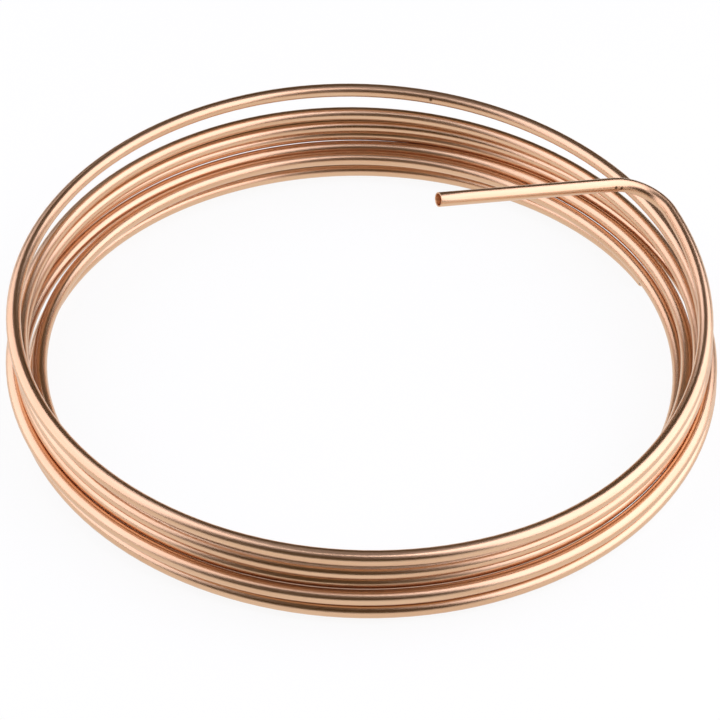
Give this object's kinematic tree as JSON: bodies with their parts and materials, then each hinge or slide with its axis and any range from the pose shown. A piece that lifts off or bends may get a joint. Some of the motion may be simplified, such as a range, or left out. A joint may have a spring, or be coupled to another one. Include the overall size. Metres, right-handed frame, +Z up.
{
  "type": "copper tube coil",
  "caption": "Loosely wound coil of bright soft copper tube lying flat, its top turn raised and one straight end bent in over the eye.",
  "frame": {"origin": "on the floor under the middle of the coil's outline", "axes": "+Z up, square to the floor; +X to the side where the free end leaves the coil; -Y to the low front of the coil"},
  "size_m": [0.3948, 0.3956, 0.1085],
  "materials": {
    "copper": "polished"
  },
  "bodies": {
    "root": {"copper_tube": "copper"}
  },
  "joints": []
}
